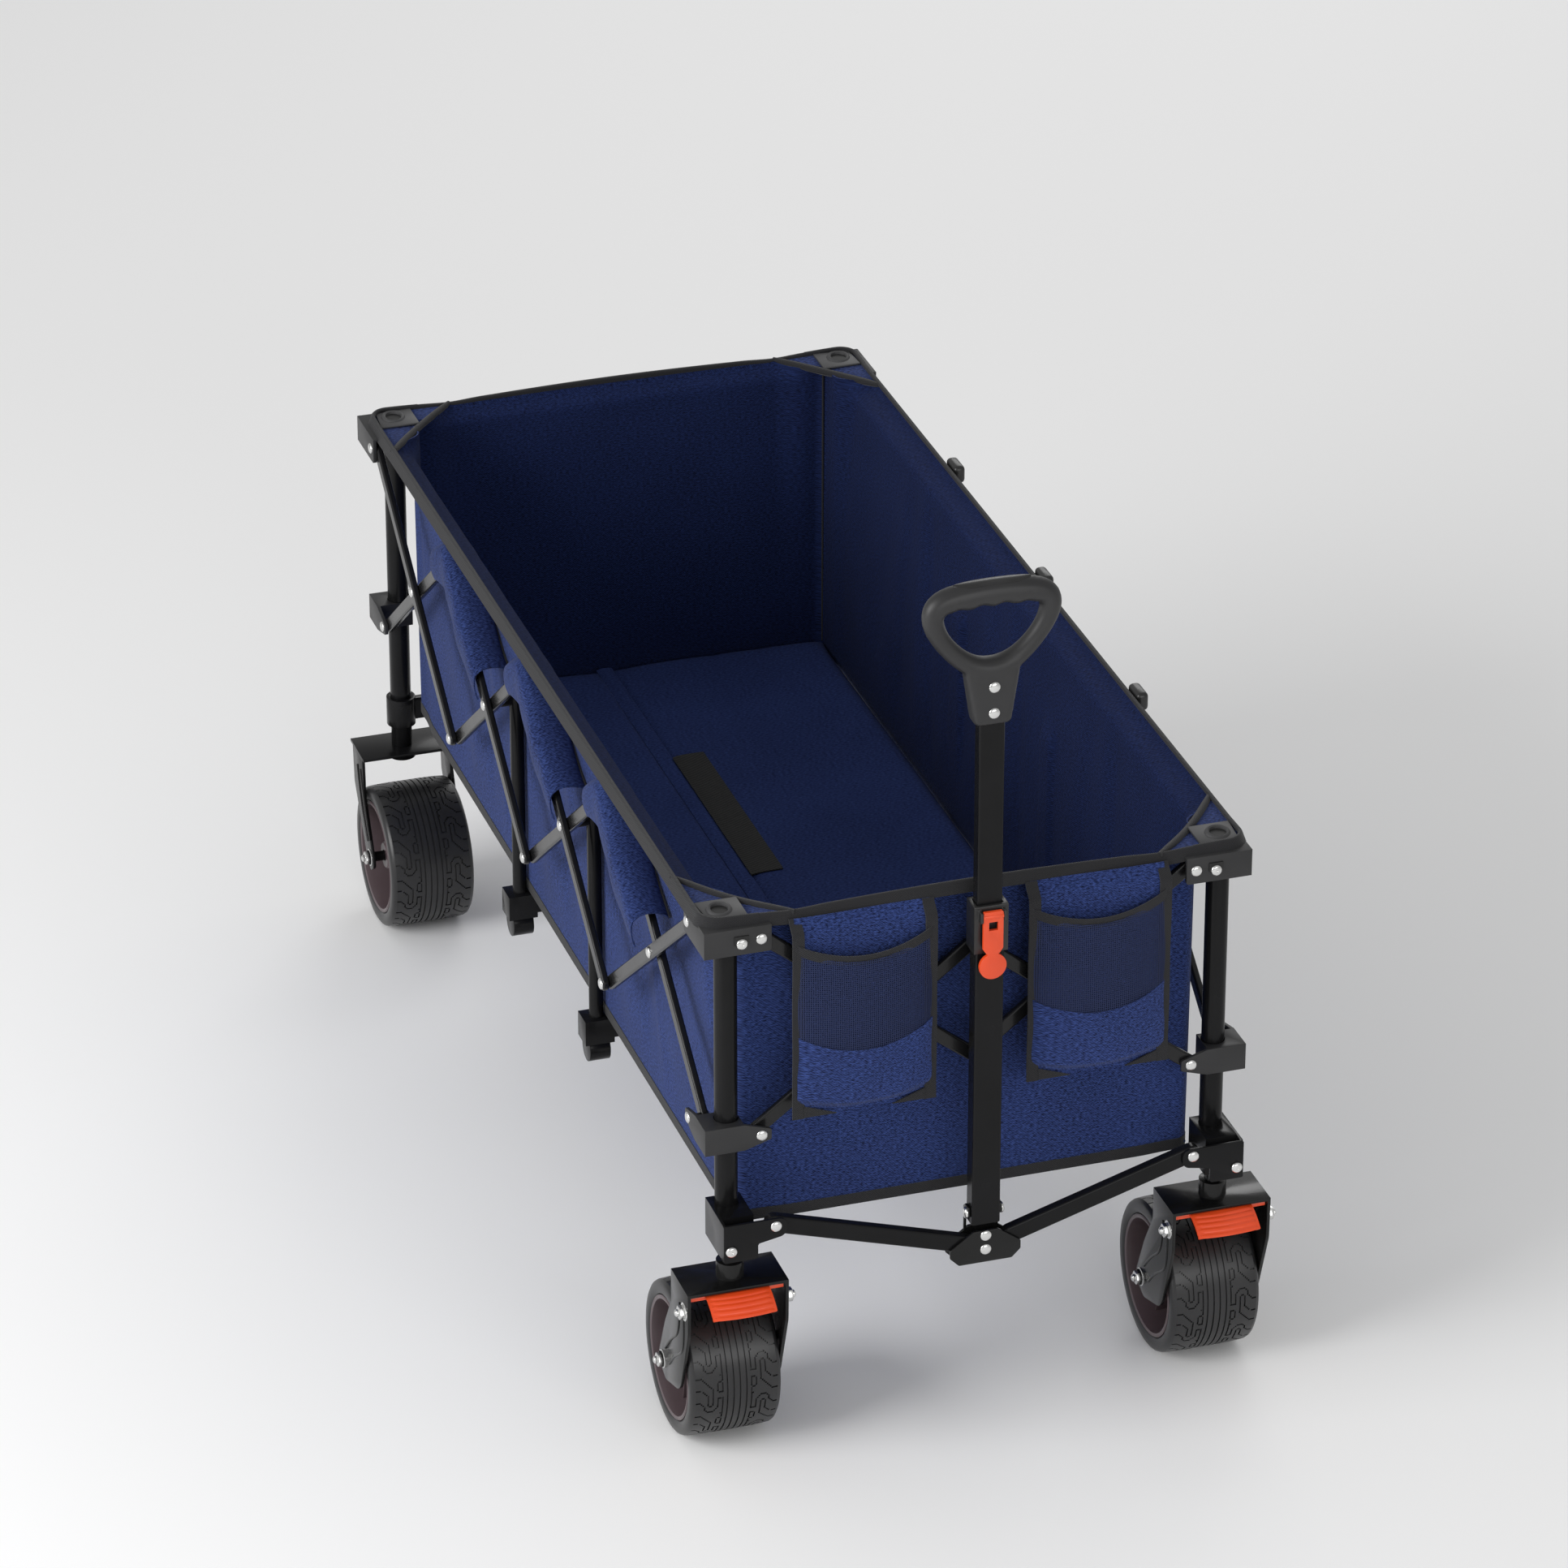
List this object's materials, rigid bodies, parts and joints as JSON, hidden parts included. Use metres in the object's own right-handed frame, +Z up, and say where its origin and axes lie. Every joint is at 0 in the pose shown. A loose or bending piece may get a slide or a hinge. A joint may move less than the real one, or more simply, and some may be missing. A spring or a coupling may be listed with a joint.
{
  "type": "folding wagon with pull handle",
  "caption": "Folding utility wagon with an open fabric body on a scissor frame, wide swivel casters in front, fixed wheels behind and a telescoping pull handle.",
  "frame": {"origin": "on the ground under the middle of the wagon's bounding box, 15 mm in front of the middle of the four posts", "axes": "+Z up, -Y towards the pull handle (front), +X to the right-hand side of somebody looking from the handle to the back"},
  "size_m": [0.67, 1.4078, 1.0173],
  "materials": {
    "fabric_navy": "woven polyester twill",
    "fabric_floor": "brushed polyester",
    "fabric_pocket": "woven polyester and mesh",
    "tyre_rubber": "moulded tread",
    "bracket_plastic": "fine moulded grain",
    "soft_grip": "soft touch",
    "signal_plastic": "satin",
    "collar_plastic": "satin",
    "bar_steel": "semi-gloss powder coat",
    "pressed_steel": "gloss powder coat",
    "handle_steel": "satin powder coat",
    "post_steel": "gloss powder coat",
    "rivet_zinc": "zinc plated",
    "rim_plastic": "moulded",
    "binding_tape": "woven tape",
    "mesh_fabric": "open mesh"
  },
  "bodies": {
    "front_left_frame": {"front_left_post": "post_steel", "front_left_top_bracket": "bracket_plastic", "basket": "fabric_navy", "floor_mat": "fabric_floor", "front_pockets": "fabric_pocket"},
    "front_right_frame": {"front_right_post": "post_steel", "front_right_top_bracket": "bracket_plastic"},
    "rear_left_frame": {"rear_left_post": "post_steel", "rear_left_top_bracket": "bracket_plastic"},
    "rear_right_frame": {"rear_right_post": "post_steel", "rear_right_top_bracket": "bracket_plastic"},
    "front_left_slider": {"front_left_slider": "bracket_plastic"},
    "front_right_slider": {"front_right_slider": "bracket_plastic"},
    "rear_left_slider": {"rear_left_slider": "bracket_plastic"},
    "rear_right_slider": {"rear_right_slider": "bracket_plastic"},
    "left_fall_bar_1": {"left_fall_bar_1": "bar_steel"},
    "left_rise_bar_1": {"left_rise_bar_1": "bar_steel"},
    "left_fall_bar_2": {"left_fall_bar_2": "bar_steel"},
    "left_rise_bar_2": {"left_rise_bar_2": "bar_steel"},
    "left_fall_bar_3": {"left_fall_bar_3": "bar_steel"},
    "left_rise_bar_3": {"left_rise_bar_3": "bar_steel"},
    "left_fall_bar_4": {"left_fall_bar_4": "bar_steel"},
    "left_rise_bar_4": {"left_rise_bar_4": "bar_steel"},
    "left_mid_post_1": {"left_mid_post_1": "post_steel"},
    "left_mid_post_2": {"left_mid_post_2": "post_steel"},
    "front_fall_bar_1": {"front_fall_bar_1": "bar_steel"},
    "front_rise_bar_1": {"front_rise_bar_1": "bar_steel"},
    "front_rise_bar_2": {"front_rise_bar_2": "bar_steel"},
    "front_fall_bar_2": {"front_fall_bar_2": "bar_steel"},
    "right_fall_bar_1": {"right_fall_bar_1": "bar_steel"},
    "right_rise_bar_1": {"right_rise_bar_1": "bar_steel"},
    "right_fall_bar_2": {"right_fall_bar_2": "bar_steel"},
    "right_rise_bar_2": {"right_rise_bar_2": "bar_steel"},
    "right_fall_bar_3": {"right_fall_bar_3": "bar_steel"},
    "right_rise_bar_3": {"right_rise_bar_3": "bar_steel"},
    "right_fall_bar_4": {"right_fall_bar_4": "bar_steel"},
    "right_rise_bar_4": {"right_rise_bar_4": "bar_steel"},
    "right_mid_post_1": {"right_mid_post_1": "post_steel"},
    "right_mid_post_2": {"right_mid_post_2": "post_steel"},
    "rear_fall_bar_1": {"rear_fall_bar_1": "bar_steel"},
    "rear_rise_bar_1": {"rear_rise_bar_1": "bar_steel"},
    "rear_rise_bar_2": {"rear_rise_bar_2": "bar_steel"},
    "rear_fall_bar_2": {"rear_fall_bar_2": "bar_steel"},
    "front_left_lower_link": {"front_left_lower_link": "pressed_steel"},
    "front_right_lower_link": {"front_right_lower_link": "pressed_steel"},
    "handle_hub": {"handle_hub": "pressed_steel"},
    "handle_tube": {"handle_lower_tube": "handle_steel", "handle_collar": "collar_plastic"},
    "handle_grip_tube": {"handle_upper_tube": "handle_steel", "handle_grip": "soft_grip"},
    "latch_key": {"latch_key": "signal_plastic"},
    "front_left_fork": {"front_left_fork": "pressed_steel"},
    "left_brake_pedal": {"left_brake_pedal": "signal_plastic"},
    "front_left_wheel": {"front_left_wheel": "tyre_rubber"},
    "rear_left_wheel": {"rear_left_wheel": "tyre_rubber"},
    "front_right_fork": {"front_right_fork": "pressed_steel"},
    "right_brake_pedal": {"right_brake_pedal": "signal_plastic"},
    "front_right_wheel": {"front_right_wheel": "tyre_rubber"},
    "rear_right_wheel": {"rear_right_wheel": "tyre_rubber"}
  },
  "joints": [
    {"name": "fold", "type": "hinge", "parent": "front_left_frame", "child": "left_fall_bar_1", "pos_m": [-0.296, -0.59906, 0.627], "axis": [-1, 0, 0], "range_deg": [0, 14.7], "deforming": ["basket", "floor_mat", "front_pockets"]},
    {"name": "left_rise_1", "type": "hinge", "parent": "left_fall_bar_1", "child": "left_rise_bar_1", "pos_m": [-0.296, -0.44556, 0.5085], "axis": [-1, 0, 0], "range_deg": [-29.4, 0]},
    {"name": "front_left_slide_pivot", "type": "hinge", "parent": "left_rise_bar_1", "child": "front_left_slider", "pos_m": [-0.296, -0.59906, 0.39], "axis": [-1, 0, 0], "range_deg": [0, 14.7]},
    {"name": "left_fall_2", "type": "hinge", "parent": "left_rise_bar_1", "child": "left_fall_bar_2", "pos_m": [-0.296, -0.29206, 0.627], "axis": [-1, 0, 0], "range_deg": [0, 29.4]},
    {"name": "left_rise_2", "type": "hinge", "parent": "left_fall_bar_1", "child": "left_rise_bar_2", "pos_m": [-0.296, -0.29206, 0.39], "axis": [-1, 0, 0], "range_deg": [-29.4, 0]},
    {"name": "left_fall_3", "type": "hinge", "parent": "left_rise_bar_2", "child": "left_fall_bar_3", "pos_m": [-0.296, 0.01494, 0.627], "axis": [-1, 0, 0], "range_deg": [0, 29.4]},
    {"name": "left_rise_3", "type": "hinge", "parent": "left_fall_bar_2", "child": "left_rise_bar_3", "pos_m": [-0.296, 0.01494, 0.39], "axis": [-1, 0, 0], "range_deg": [-29.4, 0]},
    {"name": "left_fall_4", "type": "hinge", "parent": "left_rise_bar_3", "child": "left_fall_bar_4", "pos_m": [-0.296, 0.32194, 0.627], "axis": [-1, 0, 0], "range_deg": [0, 29.4]},
    {"name": "left_rise_4", "type": "hinge", "parent": "left_fall_bar_3", "child": "left_rise_bar_4", "pos_m": [-0.296, 0.32194, 0.39], "axis": [-1, 0, 0], "range_deg": [-29.4, 0]},
    {"name": "rear_left_slide_pivot", "type": "hinge", "parent": "left_fall_bar_4", "child": "rear_left_slider", "pos_m": [-0.296, 0.62894, 0.39], "axis": [-1, 0, 0], "range_deg": [-14.7, 0]},
    {"name": "left_mid_post_1_pivot", "type": "hinge", "parent": "left_fall_bar_2", "child": "left_mid_post_1", "pos_m": [-0.296, -0.13856, 0.5085], "axis": [-1, 0, 0], "range_deg": [-14.7, 0]},
    {"name": "left_mid_post_2_pivot", "type": "hinge", "parent": "left_fall_bar_3", "child": "left_mid_post_2", "pos_m": [-0.296, 0.16844, 0.5085], "axis": [-1, 0, 0], "range_deg": [-14.7, 0]},
    {"name": "rear_left_frame_pivot", "type": "hinge", "parent": "left_rise_bar_4", "child": "rear_left_frame", "pos_m": [-0.305, 0.62894, 0.627], "axis": [-1, 0, 0], "range_deg": [0, 14.7]},
    {"name": "front_fall_1", "type": "hinge", "parent": "front_left_frame", "child": "front_fall_bar_1", "pos_m": [-0.242, -0.64706, 0.627], "axis": [0, 1, 0], "range_deg": [0, 14.7]},
    {"name": "front_rise_1", "type": "hinge", "parent": "front_fall_bar_1", "child": "front_rise_bar_1", "pos_m": [-0.0885, -0.64706, 0.5085], "axis": [0, 1, 0], "range_deg": [-29.4, 0]},
    {"name": "front_rise_2", "type": "hinge", "parent": "front_fall_bar_1", "child": "front_rise_bar_2", "pos_m": [0, -0.64706, 0.44018], "axis": [0, 1, 0], "range_deg": [-29.4, 0]},
    {"name": "front_fall_2", "type": "hinge", "parent": "front_rise_bar_1", "child": "front_fall_bar_2", "pos_m": [0, -0.64706, 0.57682], "axis": [0, 1, 0], "range_deg": [0, 29.4]},
    {"name": "front_right_frame_pivot", "type": "hinge", "parent": "front_rise_bar_2", "child": "front_right_frame", "pos_m": [0.242, -0.64706, 0.627], "axis": [0, 1, 0], "range_deg": [0, 14.7]},
    {"name": "front_right_slide_pivot", "type": "hinge", "parent": "front_fall_bar_2", "child": "front_right_slider", "pos_m": [0.242, -0.64706, 0.39], "axis": [0, 1, 0], "range_deg": [-14.7, 0]},
    {"name": "right_fall_1", "type": "hinge", "parent": "front_right_frame", "child": "right_fall_bar_1", "pos_m": [0.296, -0.59906, 0.627], "axis": [-1, 0, 0], "range_deg": [0, 14.7]},
    {"name": "right_rise_1", "type": "hinge", "parent": "right_fall_bar_1", "child": "right_rise_bar_1", "pos_m": [0.296, -0.44556, 0.5085], "axis": [-1, 0, 0], "range_deg": [-29.4, 0]},
    {"name": "right_fall_2", "type": "hinge", "parent": "right_rise_bar_1", "child": "right_fall_bar_2", "pos_m": [0.296, -0.29206, 0.627], "axis": [-1, 0, 0], "range_deg": [0, 29.4]},
    {"name": "right_rise_2", "type": "hinge", "parent": "right_fall_bar_1", "child": "right_rise_bar_2", "pos_m": [0.296, -0.29206, 0.39], "axis": [-1, 0, 0], "range_deg": [-29.4, 0]},
    {"name": "right_fall_3", "type": "hinge", "parent": "right_rise_bar_2", "child": "right_fall_bar_3", "pos_m": [0.296, 0.01494, 0.627], "axis": [-1, 0, 0], "range_deg": [0, 29.4]},
    {"name": "right_rise_3", "type": "hinge", "parent": "right_fall_bar_2", "child": "right_rise_bar_3", "pos_m": [0.296, 0.01494, 0.39], "axis": [-1, 0, 0], "range_deg": [-29.4, 0]},
    {"name": "right_fall_4", "type": "hinge", "parent": "right_rise_bar_3", "child": "right_fall_bar_4", "pos_m": [0.296, 0.32194, 0.627], "axis": [-1, 0, 0], "range_deg": [0, 29.4]},
    {"name": "right_rise_4", "type": "hinge", "parent": "right_fall_bar_3", "child": "right_rise_bar_4", "pos_m": [0.296, 0.32194, 0.39], "axis": [-1, 0, 0], "range_deg": [-29.4, 0]},
    {"name": "rear_right_slide_pivot", "type": "hinge", "parent": "right_fall_bar_4", "child": "rear_right_slider", "pos_m": [0.296, 0.62894, 0.39], "axis": [-1, 0, 0], "range_deg": [-14.7, 0]},
    {"name": "right_mid_post_1_pivot", "type": "hinge", "parent": "right_fall_bar_2", "child": "right_mid_post_1", "pos_m": [0.296, -0.13856, 0.5085], "axis": [-1, 0, 0], "range_deg": [-14.7, 0]},
    {"name": "right_mid_post_2_pivot", "type": "hinge", "parent": "right_fall_bar_3", "child": "right_mid_post_2", "pos_m": [0.296, 0.16844, 0.5085], "axis": [-1, 0, 0], "range_deg": [-14.7, 0]},
    {"name": "rear_right_frame_pivot", "type": "hinge", "parent": "right_rise_bar_4", "child": "rear_right_frame", "pos_m": [0.305, 0.62894, 0.627], "axis": [-1, 0, 0], "range_deg": [0, 14.7]},
    {"name": "rear_fall_1", "type": "hinge", "parent": "rear_left_frame", "child": "rear_fall_bar_1", "pos_m": [-0.242, 0.67694, 0.627], "axis": [0, 1, 0], "range_deg": [0, 14.7]},
    {"name": "rear_rise_1", "type": "hinge", "parent": "rear_fall_bar_1", "child": "rear_rise_bar_1", "pos_m": [-0.0885, 0.67694, 0.5085], "axis": [0, 1, 0], "range_deg": [-29.4, 0]},
    {"name": "rear_rise_2", "type": "hinge", "parent": "rear_fall_bar_1", "child": "rear_rise_bar_2", "pos_m": [0, 0.67694, 0.44018], "axis": [0, 1, 0], "range_deg": [-29.4, 0]},
    {"name": "rear_fall_2", "type": "hinge", "parent": "rear_rise_bar_1", "child": "rear_fall_bar_2", "pos_m": [0, 0.67694, 0.57682], "axis": [0, 1, 0], "range_deg": [0, 29.4]},
    {"name": "left_lower_link_pivot", "type": "hinge", "parent": "front_left_frame", "child": "front_left_lower_link", "pos_m": [-0.236, -0.68006, 0.294], "axis": [0, 1, 0], "range_deg": [0, 25.96]},
    {"name": "hub_pivot", "type": "hinge", "parent": "front_left_lower_link", "child": "handle_hub", "pos_m": [0, -0.68006, 0.222], "axis": [0, 1, 0], "range_deg": [-25.96, 0]},
    {"name": "right_lower_link_pivot", "type": "hinge", "parent": "front_right_frame", "child": "front_right_lower_link", "pos_m": [0.236, -0.68006, 0.294], "axis": [0, 1, 0], "range_deg": [-25.96, 0]},
    {"name": "handle_tilt", "type": "hinge", "parent": "handle_hub", "child": "handle_tube", "pos_m": [0, -0.68006, 0.266], "axis": [1, 0, 0], "range_deg": [0, 105]},
    {"name": "handle_slide", "type": "slide", "parent": "handle_tube", "child": "handle_grip_tube", "axis": [0, 0, 1], "range_m": [-0.2, 0.08]},
    {"name": "latch_press", "type": "hinge", "parent": "handle_tube", "child": "latch_key", "pos_m": [0, -0.69806, 0.633], "axis": [1, 0, 0], "range_deg": [0, 2.8], "stiffness_Nm_per_rad": 0.6, "springref_deg": -5.73},
    {"name": "front_left_swivel", "type": "hinge", "parent": "front_left_frame", "child": "front_left_fork", "pos_m": [-0.275, -0.64906, 0.219], "axis": [0, 0, 1], "continuous": true},
    {"name": "front_left_wheel_spin", "type": "hinge", "parent": "front_left_fork", "child": "front_left_wheel", "pos_m": [-0.275, -0.58706, 0.087], "axis": [1, 0, 0], "continuous": true},
    {"name": "rear_left_wheel_spin", "type": "hinge", "parent": "rear_left_frame", "child": "rear_left_wheel", "pos_m": [-0.275, 0.61694, 0.087], "axis": [1, 0, 0], "continuous": true},
    {"name": "left_brake_press", "type": "hinge", "parent": "front_left_fork", "child": "left_brake_pedal", "pos_m": [-0.275, -0.67156, 0.2105], "axis": [1, 0, 0], "range_deg": [0, 18]},
    {"name": "front_right_swivel", "type": "hinge", "parent": "front_right_frame", "child": "front_right_fork", "pos_m": [0.275, -0.64906, 0.219], "axis": [0, 0, 1], "continuous": true},
    {"name": "front_right_wheel_spin", "type": "hinge", "parent": "front_right_fork", "child": "front_right_wheel", "pos_m": [0.275, -0.58706, 0.087], "axis": [1, 0, 0], "continuous": true},
    {"name": "rear_right_wheel_spin", "type": "hinge", "parent": "rear_right_frame", "child": "rear_right_wheel", "pos_m": [0.275, 0.61694, 0.087], "axis": [1, 0, 0], "continuous": true},
    {"name": "right_brake_press", "type": "hinge", "parent": "front_right_fork", "child": "right_brake_pedal", "pos_m": [0.275, -0.67156, 0.2105], "axis": [1, 0, 0], "range_deg": [0, 18]}
  ],
  "couplings": [
    {"joint": "left_rise_1", "follows": "fold", "ratio": -2},
    {"joint": "front_left_slide_pivot", "follows": "fold", "ratio": 1},
    {"joint": "left_fall_2", "follows": "fold", "ratio": 2},
    {"joint": "left_rise_2", "follows": "fold", "ratio": -2},
    {"joint": "left_fall_3", "follows": "fold", "ratio": 2},
    {"joint": "left_rise_3", "follows": "fold", "ratio": -2},
    {"joint": "left_fall_4", "follows": "fold", "ratio": 2},
    {"joint": "left_rise_4", "follows": "fold", "ratio": -2},
    {"joint": "rear_left_slide_pivot", "follows": "fold", "ratio": -1},
    {"joint": "left_mid_post_1_pivot", "follows": "fold", "ratio": -1},
    {"joint": "left_mid_post_2_pivot", "follows": "fold", "ratio": -1},
    {"joint": "rear_left_frame_pivot", "follows": "fold", "ratio": 1},
    {"joint": "front_fall_1", "follows": "fold", "ratio": 1},
    {"joint": "front_rise_1", "follows": "fold", "ratio": -2},
    {"joint": "front_rise_2", "follows": "fold", "ratio": -2},
    {"joint": "front_fall_2", "follows": "fold", "ratio": 2},
    {"joint": "front_right_frame_pivot", "follows": "fold", "ratio": 1},
    {"joint": "front_right_slide_pivot", "follows": "fold", "ratio": -1},
    {"joint": "right_fall_1", "follows": "fold", "ratio": 1},
    {"joint": "right_rise_1", "follows": "fold", "ratio": -2},
    {"joint": "right_fall_2", "follows": "fold", "ratio": 2},
    {"joint": "right_rise_2", "follows": "fold", "ratio": -2},
    {"joint": "right_fall_3", "follows": "fold", "ratio": 2},
    {"joint": "right_rise_3", "follows": "fold", "ratio": -2},
    {"joint": "right_fall_4", "follows": "fold", "ratio": 2},
    {"joint": "right_rise_4", "follows": "fold", "ratio": -2},
    {"joint": "rear_right_slide_pivot", "follows": "fold", "ratio": -1},
    {"joint": "right_mid_post_1_pivot", "follows": "fold", "ratio": -1},
    {"joint": "right_mid_post_2_pivot", "follows": "fold", "ratio": -1},
    {"joint": "rear_right_frame_pivot", "follows": "fold", "ratio": 1},
    {"joint": "rear_fall_1", "follows": "fold", "ratio": 1},
    {"joint": "rear_rise_1", "follows": "fold", "ratio": -2},
    {"joint": "rear_rise_2", "follows": "fold", "ratio": -2},
    {"joint": "rear_fall_2", "follows": "fold", "ratio": 2},
    {"joint": "left_lower_link_pivot", "follows": "fold", "ratio": 1.7659},
    {"joint": "hub_pivot", "follows": "fold", "ratio": -1.7659},
    {"joint": "right_lower_link_pivot", "follows": "fold", "ratio": -1.7659}
  ]
}
